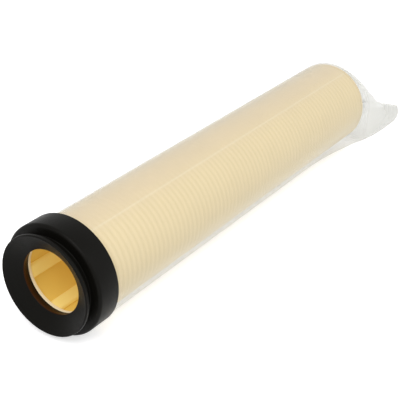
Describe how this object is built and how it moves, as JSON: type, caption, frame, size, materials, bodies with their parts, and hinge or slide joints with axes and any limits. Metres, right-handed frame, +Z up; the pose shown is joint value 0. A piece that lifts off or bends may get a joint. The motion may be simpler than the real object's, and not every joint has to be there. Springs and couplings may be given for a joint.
{
  "type": "water filter element",
  "caption": "Cylindrical water filter element with a rubber sealing collar, ribbed filter mesh over a moulded cage, and a clear film sleeve that ends in a flat tail.",
  "frame": {"origin": "on the element's axis, in the plane of the sealing lip's front edge", "axes": "+Y along the element's axis from the collar to the far end, +Z up from the surface that it lies on"},
  "size_m": [0.045, 0.2837, 0.045],
  "materials": {
    "collar_rubber": "satin moulded rubber",
    "cage_plastic": "satin moulded plastic",
    "mesh_fabric": "fine woven filter mesh",
    "cap_plastic": "satin moulded plastic",
    "clear_film": "clear, slightly milky film"
  },
  "bodies": {
    "root": {"sealing_collar": "collar_rubber", "support_cage": "cage_plastic", "filter_mesh": "mesh_fabric", "end_cap": "cap_plastic", "film_sleeve": "clear_film"}
  },
  "joints": []
}
